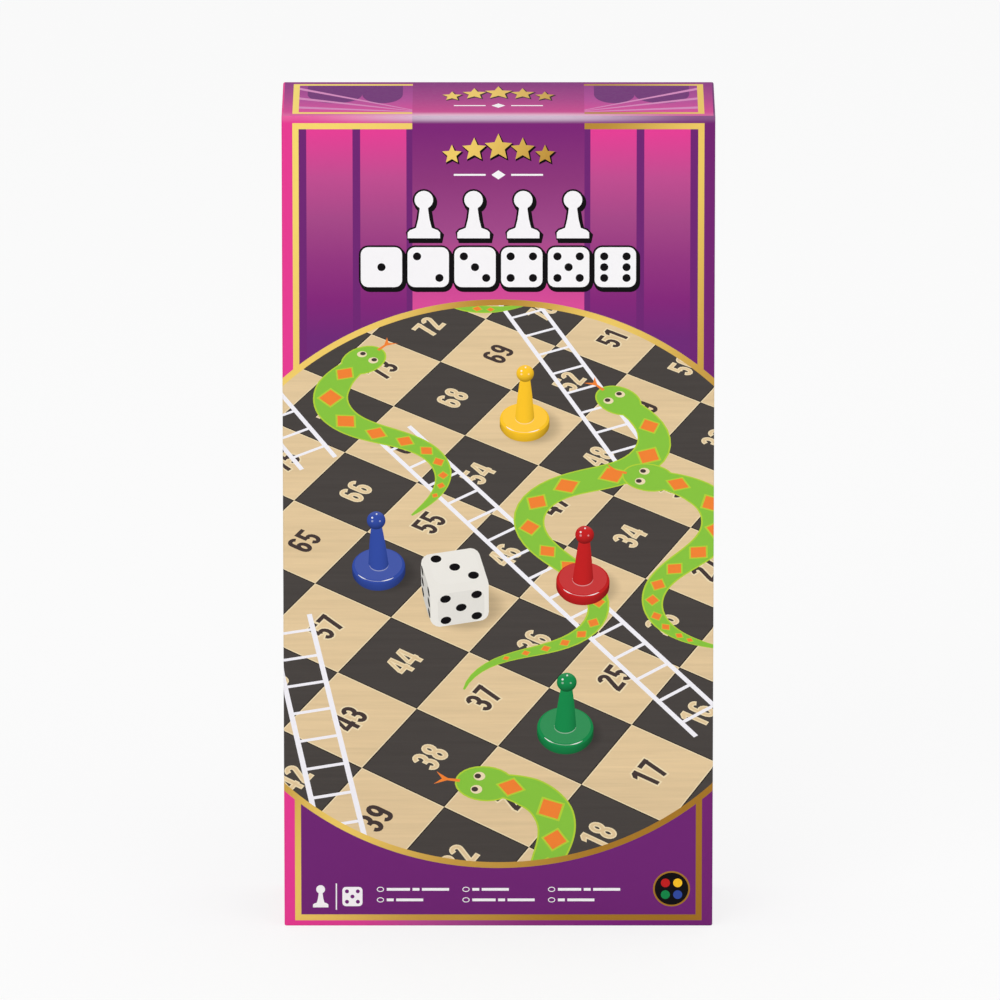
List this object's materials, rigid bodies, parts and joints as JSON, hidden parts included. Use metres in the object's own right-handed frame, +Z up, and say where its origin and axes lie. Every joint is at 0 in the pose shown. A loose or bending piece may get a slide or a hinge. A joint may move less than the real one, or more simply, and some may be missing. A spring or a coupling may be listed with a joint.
{
  "type": "boxed snakes and ladders set",
  "caption": "Upright lid-and-base game box holding a folding numbered board, rules leaflet, pawns and a die in a card insert.",
  "frame": {"origin": "middle of the underside, the lid's lower end wall that the box stands on", "axes": "+Z up along the box's long side, the lid's printed front faces -Y, +X to the right seen from the front"},
  "size_m": [0.136, 0.045, 0.266],
  "materials": {
    "greyboard": "raw greyboard",
    "printed_wrap": "printed, laminated, semi-gloss",
    "stay_tape": "kraft stay paper",
    "base_wrap": "plain coloured wrap, satin",
    "insert_card": "white-lined card",
    "board_print": "printed, laminated, satin",
    "board_backing": "plain coloured backing, satin",
    "hinge_tape": "woven hinge strip",
    "leaflet_paper": "uncoated printed paper",
    "red_plastic": "moulded, gloss",
    "yellow_plastic": "moulded, gloss",
    "green_plastic": "moulded, gloss",
    "blue_plastic": "moulded, gloss",
    "die_plastic": "moulded, gloss",
    "pip_paint": "paint"
  },
  "bodies": {
    "base": {"base_board": "greyboard", "base_wrap": "base_wrap", "base_corner_stays": "stay_tape", "insert": "insert_card"},
    "lid": {"lid_board": "greyboard", "lid_wrap": "printed_wrap", "lid_corner_stays": "stay_tape"},
    "rear_leaf": {"rear_leaf_core": "greyboard", "rear_leaf_face": "board_print", "rear_leaf_back": "board_backing", "board_hinge_tape": "hinge_tape"},
    "front_leaf": {"front_leaf_core": "greyboard", "front_leaf_face": "board_print", "front_leaf_back": "board_backing"},
    "leaflet": {"rules_leaflet": "leaflet_paper"},
    "pawn_red": {"pawn_red": "red_plastic"},
    "pawn_yellow": {"pawn_yellow": "yellow_plastic"},
    "pawn_green": {"pawn_green": "green_plastic"},
    "pawn_blue": {"pawn_blue": "blue_plastic"},
    "die": {"die_body": "die_plastic", "die_pips": "pip_paint"}
  },
  "joints": [
    {"name": "lid_lift", "type": "slide", "parent": "base", "child": "lid", "axis": [0, -1, 0], "range_m": [0, 0.48]},
    {"name": "board_lift", "type": "slide", "parent": "base", "child": "rear_leaf", "axis": [0, -1, 0], "range_m": [0, 0.06]},
    {"name": "board_fold", "type": "hinge", "parent": "rear_leaf", "child": "front_leaf", "pos_m": [-0.06342, -0.01815, 0.1327], "axis": [0, 0, -1], "range_deg": [0, 180], "deforming": ["board_hinge_tape"]},
    {"name": "leaflet_lift", "type": "slide", "parent": "base", "child": "leaflet", "axis": [0, -1, 0], "range_m": [0, 0.052]},
    {"name": "pawn_red_lift", "type": "slide", "parent": "base", "child": "pawn_red", "axis": [0, -1, 0], "range_m": [0, 0.045]},
    {"name": "pawn_yellow_lift", "type": "slide", "parent": "base", "child": "pawn_yellow", "axis": [0, -1, 0], "range_m": [0, 0.045]},
    {"name": "pawn_green_lift", "type": "slide", "parent": "base", "child": "pawn_green", "axis": [0, -1, 0], "range_m": [0, 0.045]},
    {"name": "pawn_blue_lift", "type": "slide", "parent": "base", "child": "pawn_blue", "axis": [0, -1, 0], "range_m": [0, 0.045]},
    {"name": "die_lift", "type": "slide", "parent": "base", "child": "die", "axis": [0, -1, 0], "range_m": [0, 0.045]}
  ],
  "couplings": [
    {"joint": "board_lift", "follows": "lid_lift", "ratio": 0.125},
    {"joint": "board_fold", "follows": "lid_lift", "rad_per_m": 6.544},
    {"joint": "leaflet_lift", "follows": "lid_lift", "ratio": 0.1083},
    {"joint": "pawn_red_lift", "follows": "lid_lift", "ratio": 0.09375},
    {"joint": "pawn_yellow_lift", "follows": "lid_lift", "ratio": 0.09375},
    {"joint": "pawn_green_lift", "follows": "lid_lift", "ratio": 0.09375},
    {"joint": "pawn_blue_lift", "follows": "lid_lift", "ratio": 0.09375},
    {"joint": "die_lift", "follows": "lid_lift", "ratio": 0.09375}
  ]
}
